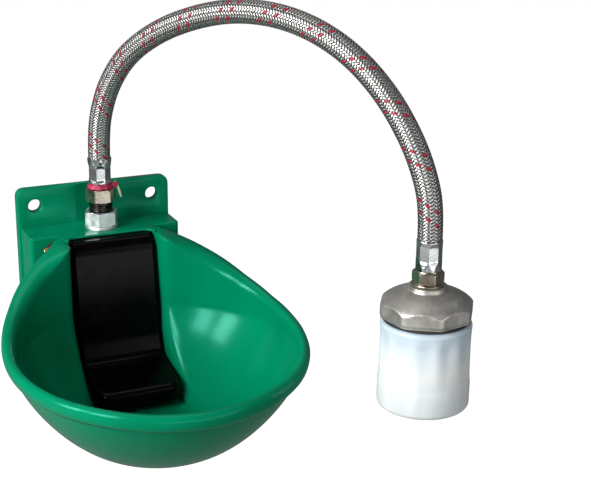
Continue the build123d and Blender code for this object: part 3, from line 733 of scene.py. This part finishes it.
def hexagon(flats, turned_by, low, high, chamfer):
    """A limit for a hexagon nut: the flats, cut by a cone at its top and bottom corners."""
    def limit(angle, radius, height):
        phase = (angle - radians(turned_by) + pi / 6) % (pi / 3) - pi / 6
        flat = flats / 2 / np.cos(phase)
        end = np.minimum(height - low, high - height)
        cone = flats / 2 - 0.1 + np.maximum(end, 0) / tan(radians(chamfer))
        soft_flat = np.minimum(flat, flats / 2 / cos(pi / 6) - 0.15)
        cut = np.minimum(np.minimum(radius, soft_flat), cone)
        return np.where(radius > flats / 2 * 0.96, cut, radius)
    return limit


def nut(name, centre, flats, turned_by, low, high, bore, finish):
    """A hexagon nut with a bore, cut by a flat 28 degree cone at both ends."""
    outer = flats / 2 / cos(pi / 6)
    levels = np.concatenate([np.linspace(low, low + 2.2, 8), np.linspace(high - 2.2, high, 8)])
    profile = [(bore, low + 0.6), (bore + 0.6, low)] + [(outer, level) for level in levels]
    profile += [(bore + 0.8, high), (bore, high - 0.6)]
    limit = hexagon(flats, turned_by, low, high, 28)
    return solid(name, turned(centre, profile, 180, limit), finish, 24)


def plated(name, dark, bright, rough, scale):
    """Plated metal: a tint and a roughness that drift together, and fine scratches."""
    made, tree, shader = material(name, Metallic=1.0)
    drift = noise(tree, scale, 5.0, 0.6)
    tint = ramped(tree, drift, dark, bright, 0.36, 0.62)
    tree.links.new(tint.outputs[0], shader.inputs["Base Color"])
    uneven = put(tree, "ShaderNodeMapRange", {1: 0.3, 2: 0.7, 3: rough * 0.8, 4: rough * 1.4},
                 {0: drift})
    tree.links.new(uneven.outputs[0], shader.inputs["Roughness"])
    bumped(tree, shader, noise(tree, scale * 8, 3.0), 0.3, 0.00012)
    return made


# Bright zinc, near white and satin; the tube dark from its thread oil; nickel, warm and
# brownish in its shadows; the ferrules' stainless steel, cool and brighter than the braid.
zinc = plated("bright_zinc", "#D0D4D7", "#ECEEF0", 0.4, 120.0)
dark_nipple = plated("dark_nipple", "#3A3836", "#6E6A64", 0.26, 300.0)
nickel = plated("nickel", "#A99D8A", "#D6CEBF", 0.24, 90.0)
steel = plated("stainless_ferrule", "#C8CBCE", "#E3E5E7", 0.22, 70.0)

washer_profile = [(10.7, SHELF), (14.4, SHELF)] + arc(13.5, -17.8, 1.3, -50, 90)
washer_profile += [(12.4, -17.2), (10.7, -17.2)]
washer = solid("inlet_washer_zinc", turned(inlet, washer_profile), zinc, 40)
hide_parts("inlet_washer")
lock_nut = nut("lock_nut", inlet, 27, 37, -16.5, -3.8, 10.6, zinc)
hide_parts("inlet_lock_nut")

# The tube's rolled thread is a helical grid: its radius is a clipped cosine of (turns of a
# 1.814 mm pitch climbed, less the angle), which fades to the root over its last 1.2 mm.
PITCH = 1.814
TUBE_LOW, TUBE_HIGH, TUBE_BORE = -36.0, 10.5, 7.5
angle = np.linspace(0, 2 * pi, 72, endpoint=False)[:, None]
level = np.linspace(TUBE_LOW, TUBE_HIGH, 480)[None, :]
wave = np.cos(2 * pi * (level / PITCH) - angle)
fade = np.clip(np.minimum(level - TUBE_LOW, TUBE_HIGH - level) / 1.2, 0, 1)
thread = 9.75 + 0.7 * np.clip(1.25 * wave, -1, 1) - 0.5 * (1 - fade)
bore = TUBE_BORE + 0 * angle
radius = np.concatenate([bore, thread, bore], 1)
level = np.concatenate([TUBE_LOW + 0 * angle, level + 0 * angle, TUBE_HIGH + 0 * angle], 1)
tube = np.stack([inlet[0] + radius * np.cos(angle), inlet[1] + radius * np.sin(angle), level], -1)
nipple = solid("threaded_tube", surface(MM * tube, wrap_rows=True, wrap_columns=True),
               dark_nipple, 50)
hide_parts("inlet_nipple")
union = nut("hose_union_nut", inlet, 24, 22, 4.9, 16.7, 10.4, nickel)
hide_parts("union_nut")

# Soft vinyl band, crimson and slightly shiny, paler where it is stretched into creases.
red_vinyl, tree, shader = material("red_band", Roughness=0.42, Subsurface_Weight=0.1,
                                   Subsurface_Radius=(0.002, 0.0006, 0.0004))
crease = noise(tree, 260.0, 3.0)
tint = ramped(tree, crease, "#8E1238", "#C43A60", 0.35, 0.7)
tree.links.new(tint.outputs[0], shader.inputs["Base Color"])
bumped(tree, shader, crease, 0.5, 0.0004)
KNOT_TURN = radians(-25)


def creased(angle, radius, height):
    """The band's radius with two sine ripples round it, and a bell-shaped bulge at its knot."""
    near = np.exp(-(((angle - KNOT_TURN + pi) % (2 * pi) - pi) / 0.5) ** 2)
    ripple = 0.25 * np.sin(9 * angle) + 0.15 * np.sin(23 * angle + 2 * height)
    return np.where(radius > 9, radius + ripple + 0.7 * near, radius)


band_profile = [(7.7, 16.7), (10.2, 16.7)] + arc(9.8, 18.0, 1.3, -80, 60, 8)
band_profile += arc(9.4, 20.2, 1.2, -30, 100, 8) + [(7.7, 21.4)]
band = turned(inlet, band_profile, 144, creased)


def blob(centre, half, count=28):
    """An ellipsoid about a centre, its radius varied by a tenth in three slanting lumps."""
    a = np.linspace(0, pi, count)[:, None]
    b = np.linspace(0, 2 * pi, 2 * count, endpoint=False)[None, :]
    lump = 1 + 0.1 * np.sin(3 * b + 2 * a) * np.sin(a)
    parts = (half[0] * np.sin(a) * np.cos(b) * lump, half[1] * np.sin(a) * np.sin(b) * lump,
             half[2] * np.cos(a) + 0 * b)
    points = np.stack([c + part for c, part in zip(centre, parts)], -1)
    return surface(MM * points, wrap_columns=True)


KNOT_OUT = 11.5
knot_x, knot_y = KNOT_OUT * cos(KNOT_TURN), inlet[1] + KNOT_OUT * sin(KNOT_TURN)
knot = blob((knot_x + 0.6, knot_y, 19.4), (3.2, 2.4, 2.4))
ear = blob((knot_x + 2.4, knot_y - 0.6, 21.6), (2.3, 1.3, 1.3))
red_seal = solid("red_seal", joined(band, knot, ear), red_vinyl)
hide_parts("seal_band")

# The tail is a thin flat strip of the same vinyl, cream on this side, that hangs from the
# knot; its ends taper off.
cream_vinyl, tree, shader = material("cream_tail", Roughness=0.5)
tint = ramped(tree, noise(tree, 300.0), "#CDBE98", "#EDE3C6")
tree.links.new(tint.outputs[0], shader.inputs["Base Color"])
t = np.linspace(0, 1, 24)[:, None]
loop_angle = np.linspace(0, 2 * pi, 16, endpoint=False)[None, :]
swell = np.sqrt(np.clip(1 - np.abs(2 * t - 1) ** 8, 0, 1))
tail_points = np.stack([
    knot_x + 1.6 + 6.0 * t + 0.5 * np.sin(4 * t) + 1.0 * swell * np.cos(loop_angle),
    knot_y + 0.5 * swell * np.sin(loop_angle),
    23.5 - 16.5 * t + 0 * loop_angle], -1)
tail = solid("band_strip", surface(MM * tail_points, wrap_columns=True), cream_vinyl)
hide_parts("band_tail")


FERRULE = 10.15
FERRULE_FLAT = 9.3


def ferrule(name, centre, low, high, turned_by, up, finish):
    """A crimped sleeve: eight flats that fade out along arches, below a mouth flared by a
    smooth step and dimpled by a cosine of eight waves."""
    length = high - low

    def limit(angle, radius, height):
        away = height - low if up else high - height
        phase = (angle - radians(turned_by) + pi / 8) % (pi / 4) - pi / 8
        flat = FERRULE_FLAT / np.cos(phase)
        arch = 1.2 * (phase / (pi / 8)) ** 2
        pressed = (np.clip((away - 1.2 - arch) / 3.2, 0, 1)
                   * np.clip((length - 5.0 - arch - away) / 3.2, 0, 1))
        pressed = pressed * pressed * (3 - 2 * pressed)
        plain = np.minimum(radius, FERRULE)
        mouth = np.clip((away - (length - 5)) / 3, 0, 1)
        mouth = mouth * mouth * (3 - 2 * mouth)
        flared = 10.35 + 0.25 * np.cos(8 * (angle - radians(turned_by)))
        body = plain * (1 - pressed) + np.minimum(flat, plain) * pressed
        body = body * (1 - mouth) + mouth * flared
        return np.where(radius > 9.9, body, radius)

    steps = np.linspace(0, 1, 80)
    outside = [(10.3, low + 0.7 + (length - 1.4) * s) for s in steps]
    if up:
        foot = [(6.6, low), (8.9, low)] + arc(9.2, low + 0.9, 0.95, -85, -20, 5)
        lip = arc(9.4, high - 0.9, 1.0, 20, 100, 6) + [(8.6, high - 0.6), (6.6, high - 2.0)]
    else:
        foot = [(6.6, low + 2.0), (8.6, low + 0.6)] + arc(9.4, low + 0.9, 1.0, -100, -20, 6)
        lip = arc(9.2, high - 0.9, 0.95, 20, 85, 5) + [(8.9, high), (6.6, high)]
    return solid(name, turned(centre, foot + outside + lip, 192, limit), finish, 40)


near_sleeve = ferrule("near_sleeve", inlet, 21.5, 44.5, 33, True, steel)
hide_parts("near_ferrule")
stack_slots = {
    washer: "bright_zinc", lock_nut: "bright_zinc", nipple: "dark_nipple", union: "nickel",
    red_seal: "red_band", tail: "cream_tail", near_sleeve: "stainless_ferrule"}
for fitted, slot_name in stack_slots.items():
    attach(fitted, "trough")

# ---------------------------------------------------------------- tank fittings
# The far ferrule, its nickelled hexagon tail with a round collar, the galvanised cast cap
# that reduces 2 inch to half inch, its rubber ring, and the coupling, a thick blow-moulded
# natural plastic socket with shallow upright flutes over a plain skirt.
tank = (1000 * TANK[0], 1000 * TANK[1])
far_sleeve = ferrule("far_sleeve", tank, 7.2, 31, 36, False, steel)
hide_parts("far_ferrule")

# The tail's hexagon is cut by cones at both ends; its neck, collar and thread stay round.
HEX_LOW, HEX_HIGH, HEX_OUT = -3.0, 6.0, 12.7
crown = [(6.6, 7.0), (9.4, 7.0)] + arc(9.6, 6.2, 0.8, 90, 10, 4)
hex_levels = np.concatenate([np.linspace(HEX_HIGH, 4.2, 7), np.linspace(-1.2, HEX_LOW, 7)])
hex_profile = crown + [(HEX_OUT, z) for z in hex_levels]
collar = [(11.2, -3.1), (11.8, -3.5)] + arc(11.9, -4.4, 0.9, 60, -60, 8)
collar += [(11.4, -5.5), (10.4, -5.5)]
thread_end = [(10.4, -6.0), (10.4, -15.5), (9.6, -16.3), (6.6, -16.3)]
tail_limit = hexagon(22, -4, HEX_LOW, HEX_HIGH, 30)


def hex_only(angle, radius, height):
    """The hexagon's limit, for the part of the tail between its collar and its neck."""
    inside = (height > HEX_LOW - 0.01) & (height < HEX_HIGH + 0.01)
    return np.where(inside, tail_limit(angle, radius, height), radius)


tail_shape = turned(tank, hex_profile + collar + thread_end, 180, hex_only)
far_tail = solid("hose_tail", tail_shape, nickel, 24)
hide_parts("far_tail")

# Hot-dip galvanised iron: a dull warm grey with soft crystal patches over a rough cast
# skin, which breaks up its highlights.
galvanised, tree, shader = material("galvanised_iron", Metallic=0.9)
spangle = put(tree, "ShaderNodeTexVoronoi", {"Scale": 260.0, "Randomness": 1.0},
              {"Vector": put(tree, "ShaderNodeTexCoord").outputs["Object"]}, feature="F1")
faint = put(tree, "ShaderNodeMath", {1: 0.16}, {0: spangle.outputs["Color"]},
            operation="MULTIPLY")
total = put(tree, "ShaderNodeMath", links={0: faint.outputs[0], 1: noise(tree, 30.0, 6.0)},
            operation="ADD").outputs[0]
tint = ramped(tree, total, "#B3ADA6", "#D3D1CD", 0.4, 0.85)
tree.links.new(tint.outputs[0], shader.inputs["Base Color"])
uneven = put(tree, "ShaderNodeMapRange", {1: 0.35, 2: 0.8, 3: 0.36, 4: 0.58}, {0: total})
tree.links.new(uneven.outputs[0], shader.inputs["Roughness"])
bumped(tree, shader, noise(tree, 420.0, 4.0), 0.6, 0.0004)
CAP_FLAT, CAP_CORNER, CAP_LOW = 35.0, 37.2, -30.5


def eight_flats(angle, radius, height):
    """The cap's skirt: eight flats with blunt corners, which cut its dome in curved arcs and
    draw in by 0.8 mm at the lower edge."""
    phase = (angle - radians(10) + pi / 8) % (pi / 4) - pi / 8
    away = np.clip((height + 29.6) / 1.2, 0, 1)
    flat = np.minimum(CAP_FLAT / np.cos(phase), CAP_CORNER) - 0.8 * (1 - away)
    return np.where(radius > 30, np.minimum(radius, flat), radius)


dome_ends = [(17.2, -9.4), (25, -12.0), (34.5, -15.2), (37.4, -21.5)]
cap_dome = bezier(dome_ends, np.linspace(0, 1, 40))
ring_top = [(10.6, -5.5), (14.0, -5.5)] + arc(14.1, -6.7, 1.2, 90, 0, 6)
cap_profile = ring_top + [(15.4, -7.6), (15.9, -8.9)] + [tuple(point) for point in cap_dome]
cap_profile += [(37.6, z) for z in np.linspace(-22, CAP_LOW, 12)]
cap_profile += [(29.7, CAP_LOW), (29.7, -20), (27.5, -17), (10.6, -16.5)]
cap = solid("cast_cap", turned(tank, cap_profile, 240, eight_flats), galvanised, 26)
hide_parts("reducing_cap")

# Black rubber ring: matt, grey with dust in places, squeezed slightly out under the cap.
rubber, tree, shader = material("black_rubber", Roughness=0.62)
grain = noise(tree, 240.0, 4.0)
tint = ramped(tree, grain, "#101010", "#2A2A29")
tree.links.new(tint.outputs[0], shader.inputs["Base Color"])
bumped(tree, shader, grain, 0.3, 0.0002)
ring_profile = [(29.7, -33.5), (33.6, -33.5)] + arc(33.3, -32, 1.4, -80, 80, 9)
ring_profile += [(33.6, CAP_LOW), (29.7, CAP_LOW)]
cap_ring = solid("cap_ring", turned(tank, ring_profile, 144), rubber, 40)
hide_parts("cap_gasket")

# Natural polyethylene: milky and translucent, softly lit from inside, with faint cloudy streaks
# along the flutes;
# painted light and shade by height: a bluish painted shade near the shoulder, whiter in the middle,
# and a greyer painted shade at the skirt.
natural, tree, shader = material(
    "natural_plastic", Roughness=0.34, Subsurface_Weight=0.7,
    Subsurface_Radius=(0.012, 0.012, 0.013), Subsurface_Scale=1.0)
place = put(tree, "ShaderNodeTexCoord").outputs["Object"]
streaked = put(tree, "ShaderNodeMapping", {"Scale": (1.0, 1.0, 0.15)}, {0: place})
milk = noise(tree, 90.0, 4.0, vector=streaked.outputs[0])
tint = ramped(tree, milk, "#E4E8EA", "#F2F4F4", 0.3, 0.7)
height_of = put(tree, "ShaderNodeSeparateXYZ", links={0: place})
# Painted light and shade by height: darker and bluish at the shoulder, whitest in the middle,
# greyer at the skirt.
fall = put(tree, "ShaderNodeMapRange", {1: -0.1045, 2: -0.037}, {0: height_of.outputs["Z"]})
painted_height_light = ramped(tree, fall.outputs[0], "#DADDDF", "#CBD9E4")
painted_height_light.color_ramp.elements.new(0.55).color = linear("#F2F4F3")
both = put(tree, "ShaderNodeMix", {0: 1.0}, {6: tint.outputs[0], 7: painted_height_light.outputs[0]},
           data_type="RGBA", blend_type="MULTIPLY")
tree.links.new(both.outputs[2], shader.inputs["Base Color"])
bumped(tree, shader, milk, 0.25, 0.0003)
FLUTES, FLUTES_LOW = 12, -84
COUPLING_NECK = 29.6


def fluted(angle, radius, height):
    """Raised-cosine flutes 1.3 mm deep, which fade in above the skirt and out again just
    below the shoulder."""
    up = np.clip((height - FLUTES_LOW) / 34, 0, 1) * np.clip((-37.5 - height) / 9, 0, 1)
    groove = 0.5 + 0.5 * np.cos(FLUTES * angle)
    return np.where((radius > 34) & (height > FLUTES_LOW), radius - 1.3 * up * groove, radius)


outer_coupling = [(22, -24.5), (COUPLING_NECK, -24.5), (COUPLING_NECK, -33.4)]
outer_coupling += arc(32.4, -37.2, 3.6, 80, 0, 12)
outer_coupling += [(36.0, z) for z in np.linspace(-38.5, -80, 60)]
outer_coupling += [(36.1, -82), (36.4, -83.8), (36.4, -86)]
outer_coupling += [(36.4, z) for z in np.linspace(-90, -100, 6)]
outer_coupling += arc(32.6, -100.7, 3.8, 0, -90, 12)
inner_coupling = [(29.8, -104.5), (29.8, -67.5), (30.6, -67.4), (30.6, -64.0), (22, -64.0)]
coupling_shape = turned(tank, outer_coupling + inner_coupling, 288, fluted)
coupling = solid("coupling_shell", coupling_shape, natural, 40)
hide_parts("tank_coupling")
tank_slots = {
    far_sleeve: "stainless_ferrule", far_tail: "nickel", cap: "galvanised_iron",
    cap_ring: "black_rubber", coupling: "natural_plastic"}
for fitted, slot_name in tank_slots.items():
    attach(fitted, "trough")

# ---------------------------------------------------------------- pin, clips and valve
# The copper-plated hinge pin is turned, and a cone-shaped pressed clip holds each of its
# ends.  The brass, steel and rubber parts inside keep their solids, with these materials.
copper = plated("copper_pin", "#8C5A33", "#E0B070", 0.25, 260.0)
clip = plated("pin_clip", "#8E4B45", "#E39A8C", 0.22, 260.0)
brass = plated("valve_brass", "#8A6A2C", "#D2B060", 0.3, 200.0)
spring_wire = plated("spring_steel", "#80858A", "#C4C8CC", 0.28, 400.0)


def lying(profile, closed):
    """A bar or a ring along X from a profile of distance along X and radius about the pin."""
    angle = np.linspace(0, 2 * pi, 64, endpoint=False)[:, None]
    along = np.array([p[0] for p in profile], float)[None, :] + 0 * angle
    radius = np.array([p[1] for p in profile], float)[None, :] + 0 * angle
    points = np.stack([along, PIN_Y + radius * np.cos(angle),
                       PIN_Z + radius * np.sin(angle)], -1)
    return surface(MM * points, wrap_rows=True, wrap_columns=closed)


PIN_HALF = 59.5
pin_end = [(PIN_HALF, 0), (PIN_HALF, 1.8), (PIN_HALF - 0.4, 2.6), (PIN_HALF - 1.2, 3.0)]
pin_line = [(-a, b) for a, b in pin_end] + pin_end[::-1]
pin = solid("pin", lying(pin_line, False), copper, 50)
clip_line = [(50.3, 3.0), (50.3, 6.2), (50.9, 6.6), (51.8, 6.5), (54.6, 4.6), (55.8, 4.3),
             (56.0, 3.0)]
clips = solid("clips", joined(lying(clip_line, True), lying(mirrored(clip_line), True)),
              clip, 50)
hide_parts("hinge_pin")
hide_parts("pin_clips")
for fitted, slot_name in {pin: "copper_pin", clips: "pin_clip"}.items():
    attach(fitted, "trough")
dressed = {
    "valve_body": brass, "valve_plunger": brass, "near_tail": brass,
    "valve_spring": spring_wire, "spring_retainer": spring_wire, "valve_seal": rubber,
    "inlet_gasket": rubber, "union_gasket": rubber, "coupling_seal": rubber,
}
for node_name, finish in dressed.items():
    carried = nodes[node_name]
    carried.data.materials.clear()
    carried.data.materials.append(finish)
